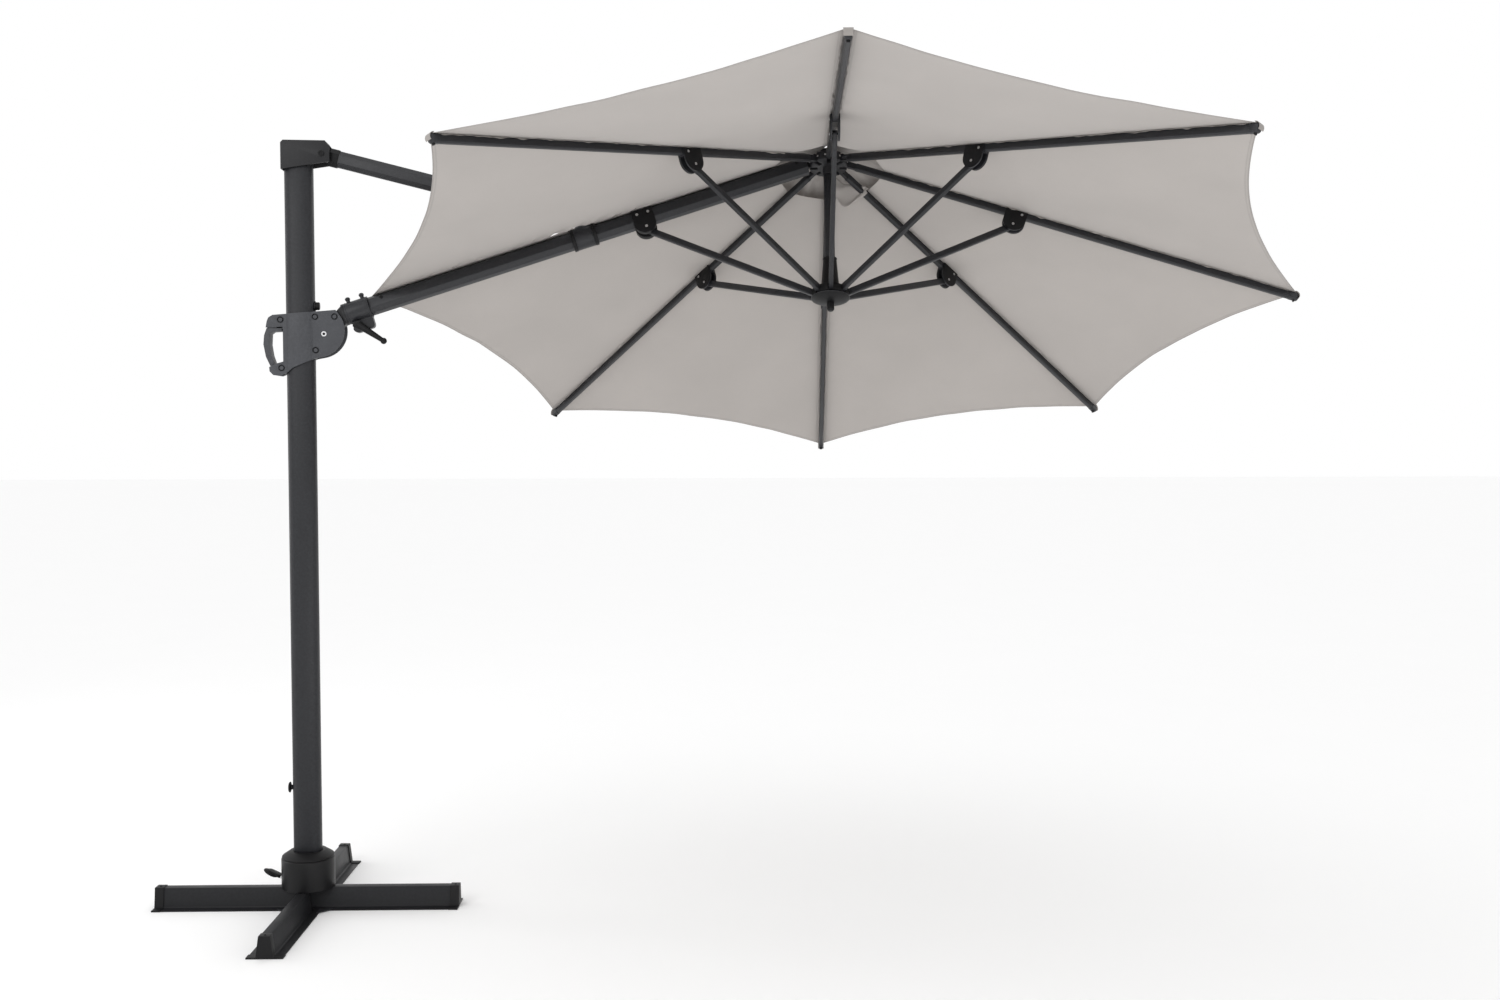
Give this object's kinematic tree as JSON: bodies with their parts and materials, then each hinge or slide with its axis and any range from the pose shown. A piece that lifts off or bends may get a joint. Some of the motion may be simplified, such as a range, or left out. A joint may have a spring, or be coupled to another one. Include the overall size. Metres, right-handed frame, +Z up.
{
  "type": "cantilever parasol",
  "caption": "Free-standing cantilever parasol with a cross base, swivelling mast, sliding carriage, tilting arm and an eight-sided folding canopy rolled to one side.",
  "frame": {"origin": "on the ground, at the centre of the cross base", "axes": "+Z up, +X from the mast towards the canopy, level"},
  "size_m": [3.7169, 2.8276, 2.5459],
  "materials": {
    "coated_steel": "satin",
    "coated_aluminium": "satin",
    "black_casting": "satin",
    "grey_plastic": "satin",
    "black_plastic": "satin",
    "bolt_steel": "satin",
    "housing_iron": "satin",
    "canvas": "matte"
  },
  "bodies": {
    "base": {"leg_long": "coated_steel", "leg_rear": "coated_steel", "leg_front": "coated_steel", "end_cap_right": "black_plastic", "end_cap_rear": "black_plastic", "end_cap_left": "black_plastic", "end_cap_front": "black_plastic", "tie_plate": "coated_steel", "swivel_post": "coated_steel", "housing": "housing_iron"},
    "pedal": {"foot_pedal": "black_plastic"},
    "mast": {"mast_tube": "coated_steel", "mast_skirt": "black_plastic", "mast_head": "black_casting", "upper_stop": "black_plastic", "lower_knob": "black_plastic"},
    "carriage": {"cheek_front": "grey_plastic", "cheek_rear": "grey_plastic", "pivot_bolt": "bolt_steel", "latch_block": "grey_plastic"},
    "grip": {"squeeze_grip": "grey_plastic"},
    "knuckle": {"tilt_yoke": "black_casting", "arm_clamp": "coated_aluminium", "strut_collar": "coated_aluminium", "collar_pin": "bolt_steel"},
    "lever": {"clamp_lever": "black_plastic"},
    "strut": {"upper_strut": "coated_aluminium"},
    "arm": {"arm_tube": "coated_aluminium", "stop_ring_lower": "black_plastic", "stop_ring_upper": "black_plastic", "arm_tip": "black_casting", "arm_bracket": "black_plastic", "cover_sector_4": "canvas"},
    "hub": {"hub": "black_casting", "centre_pole": "coated_aluminium", "vent_cap": "canvas"},
    "runner": {"runner": "black_plastic", "runner_knob": "black_plastic"},
    "rib_0": {"rib_0": "coated_aluminium", "cover_sector_0": "canvas"},
    "stay_0": {"stay_0": "coated_aluminium"},
    "rib_1": {"rib_1": "coated_aluminium", "cover_sector_1": "canvas"},
    "stay_1": {"stay_1": "coated_aluminium"},
    "rib_2": {"rib_2": "coated_aluminium", "cover_sector_2": "canvas"},
    "stay_2": {"stay_2": "coated_aluminium"},
    "rib_3": {"rib_3": "coated_aluminium", "cover_sector_3": "canvas"},
    "stay_3": {"stay_3": "coated_aluminium"},
    "stay_4": {"stay_4": "coated_aluminium"},
    "rib_5": {"rib_5": "coated_aluminium", "cover_sector_5": "canvas"},
    "stay_5": {"stay_5": "coated_aluminium"},
    "rib_6": {"rib_6": "coated_aluminium", "cover_sector_6": "canvas"},
    "stay_6": {"stay_6": "coated_aluminium"},
    "rib_7": {"rib_7": "coated_aluminium", "cover_sector_7": "canvas"},
    "stay_7": {"stay_7": "coated_aluminium"}
  },
  "joints": [
    {"name": "mast_swivel", "type": "hinge", "parent": "base", "child": "mast", "pos_m": [0, 0, 0], "axis": [0, 0, 1], "continuous": true},
    {"name": "pedal_press", "type": "hinge", "parent": "base", "child": "pedal", "pos_m": [-0.06388, 0.0039, 0.09], "axis": [-0.0609, -0.9981, 0], "range_deg": [0, 12], "stiffness_Nm_per_rad": 2, "springref_deg": -11.46},
    {"name": "carriage_slide", "type": "slide", "parent": "mast", "child": "carriage", "axis": [0, 0, -1], "range_m": [0, 0.5143]},
    {"name": "grip_squeeze", "type": "hinge", "parent": "carriage", "child": "grip", "pos_m": [-0.064, 0, 1.9235], "axis": [0, -1, 0], "range_deg": [0, 5], "stiffness_Nm_per_rad": 3, "springref_deg": -8.59},
    {"name": "arm_pitch", "type": "hinge", "parent": "carriage", "child": "knuckle", "pos_m": [0.079, 0, 1.8925], "axis": [0, -1, 0], "range_deg": [0, 16.01]},
    {"name": "strut_swing", "type": "hinge", "parent": "knuckle", "child": "strut", "pos_m": [0.90135, 0, 2.27247], "axis": [0, 1, 0], "range_deg": [0, 38.1]},
    {"name": "lever_turn", "type": "hinge", "parent": "knuckle", "child": "lever", "pos_m": [0.18779, 0, 1.92348], "axis": [0, 1, 0], "range_deg": [-35, 60]},
    {"name": "canopy_roll", "type": "hinge", "parent": "knuckle", "child": "arm", "pos_m": [0.06604, 0, 1.9314], "axis": [0.9487, 0, 0.3161], "range_deg": [-15, 55]},
    {"name": "canopy_fold", "type": "hinge", "parent": "arm", "child": "hub", "pos_m": [1.68341, 0, 2.47037], "axis": [0.1083, 0.9395, -0.3251], "range_deg": [0, 64], "deforming": ["cover_sector_0", "cover_sector_1", "cover_sector_2", "cover_sector_3", "cover_sector_4", "cover_sector_5", "cover_sector_6", "cover_sector_7", "vent_cap"]},
    {"name": "rib_0_hinge", "type": "hinge", "parent": "hub", "child": "rib_0", "pos_m": [1.78278, -0.01117, 2.47121], "axis": [0.1083, 0.9395, -0.3251], "range_deg": [0, 64.01]},
    {"name": "stay_0_hinge", "type": "hinge", "parent": "rib_0", "child": "stay_0", "pos_m": [2.32443, -0.14915, 2.25297], "axis": [0.1083, 0.9395, -0.3251], "range_deg": [-128.01, 0]},
    {"name": "rib_1_hinge", "type": "hinge", "parent": "hub", "child": "rib_1", "pos_m": [1.77206, 0.02368, 2.45959], "axis": [-0.6261, 0.7433, -0.2358], "range_deg": [0, 64.01]},
    {"name": "stay_1_hinge", "type": "hinge", "parent": "rib_1", "child": "stay_1", "pos_m": [2.19537, 0.27031, 2.11314], "axis": [-0.6261, 0.7433, -0.2358], "range_deg": [-128.01, 0]},
    {"name": "rib_2_hinge", "type": "hinge", "parent": "hub", "child": "rib_2", "pos_m": [1.73851, 0.04139, 2.45453], "axis": [-0.9937, 0.1117, -0.0084], "range_deg": [0, 64.01]},
    {"name": "stay_2_hinge", "type": "hinge", "parent": "rib_2", "child": "stay_2", "pos_m": [1.7916, 0.48343, 2.05225], "axis": [-0.9937, 0.1117, -0.0084], "range_deg": [-128.01, 0]},
    {"name": "rib_3_hinge", "type": "hinge", "parent": "hub", "child": "rib_3", "pos_m": [1.70179, 0.03158, 2.459], "axis": [-0.7793, -0.5853, 0.2239], "range_deg": [0, 64.01]},
    {"name": "stay_3_hinge", "type": "hinge", "parent": "rib_3", "child": "stay_3", "pos_m": [1.34964, 0.36536, 2.10597], "axis": [-0.7793, -0.5853, 0.2239], "range_deg": [-128.01, 0]},
    {"name": "stay_4_hinge", "type": "hinge", "parent": "arm", "child": "stay_4", "pos_m": [1.12838, -0.01473, 2.24283], "axis": [-0.1083, -0.9395, 0.3251], "range_deg": [-128.01, 0]},
    {"name": "rib_5_hinge", "type": "hinge", "parent": "hub", "child": "rib_5", "pos_m": [1.69413, -0.03485, 2.48198], "axis": [0.6261, -0.7433, 0.2358], "range_deg": [0, 64.01]},
    {"name": "stay_5_hinge", "type": "hinge", "parent": "rib_5", "child": "stay_5", "pos_m": [1.25744, -0.4342, 2.38266], "axis": [0.6261, -0.7433, 0.2358], "range_deg": [-128.01, 0]},
    {"name": "rib_6_hinge", "type": "hinge", "parent": "hub", "child": "rib_6", "pos_m": [1.72768, -0.05256, 2.48704], "axis": [0.9937, -0.1117, 0.0084], "range_deg": [0, 64.01]},
    {"name": "stay_6_hinge", "type": "hinge", "parent": "rib_6", "child": "stay_6", "pos_m": [1.66121, -0.64732, 2.44355], "axis": [0.9937, -0.1117, 0.0084], "range_deg": [-128.01, 0]},
    {"name": "rib_7_hinge", "type": "hinge", "parent": "hub", "child": "rib_7", "pos_m": [1.7644, -0.04275, 2.48258], "axis": [0.7793, 0.5853, -0.2239], "range_deg": [0, 64.01]},
    {"name": "stay_7_hinge", "type": "hinge", "parent": "rib_7", "child": "stay_7", "pos_m": [2.10317, -0.52925, 2.38983], "axis": [0.7793, 0.5853, -0.2239], "range_deg": [-128.01, 0]},
    {"name": "runner_hinge", "type": "hinge", "parent": "stay_0", "child": "runner", "pos_m": [1.7694, -0.16389, 2.02543], "axis": [0.1083, 0.9395, -0.3251], "range_deg": [0, 64.01]}
  ],
  "couplings": [
    {"joint": "arm_pitch", "follows": "carriage_slide", "rad_per_m": 0.54298},
    {"joint": "strut_swing", "follows": "carriage_slide", "rad_per_m": 1.2927},
    {"joint": "rib_0_hinge", "follows": "canopy_fold", "ratio": 1},
    {"joint": "stay_0_hinge", "follows": "canopy_fold", "ratio": -2},
    {"joint": "rib_1_hinge", "follows": "canopy_fold", "ratio": 1},
    {"joint": "stay_1_hinge", "follows": "canopy_fold", "ratio": -2},
    {"joint": "rib_2_hinge", "follows": "canopy_fold", "ratio": 1},
    {"joint": "stay_2_hinge", "follows": "canopy_fold", "ratio": -2},
    {"joint": "rib_3_hinge", "follows": "canopy_fold", "ratio": 1},
    {"joint": "stay_3_hinge", "follows": "canopy_fold", "ratio": -2},
    {"joint": "stay_4_hinge", "follows": "canopy_fold", "ratio": -2},
    {"joint": "rib_5_hinge", "follows": "canopy_fold", "ratio": 1},
    {"joint": "stay_5_hinge", "follows": "canopy_fold", "ratio": -2},
    {"joint": "rib_6_hinge", "follows": "canopy_fold", "ratio": 1},
    {"joint": "stay_6_hinge", "follows": "canopy_fold", "ratio": -2},
    {"joint": "rib_7_hinge", "follows": "canopy_fold", "ratio": 1},
    {"joint": "stay_7_hinge", "follows": "canopy_fold", "ratio": -2},
    {"joint": "runner_hinge", "follows": "canopy_fold", "ratio": 1}
  ]
}
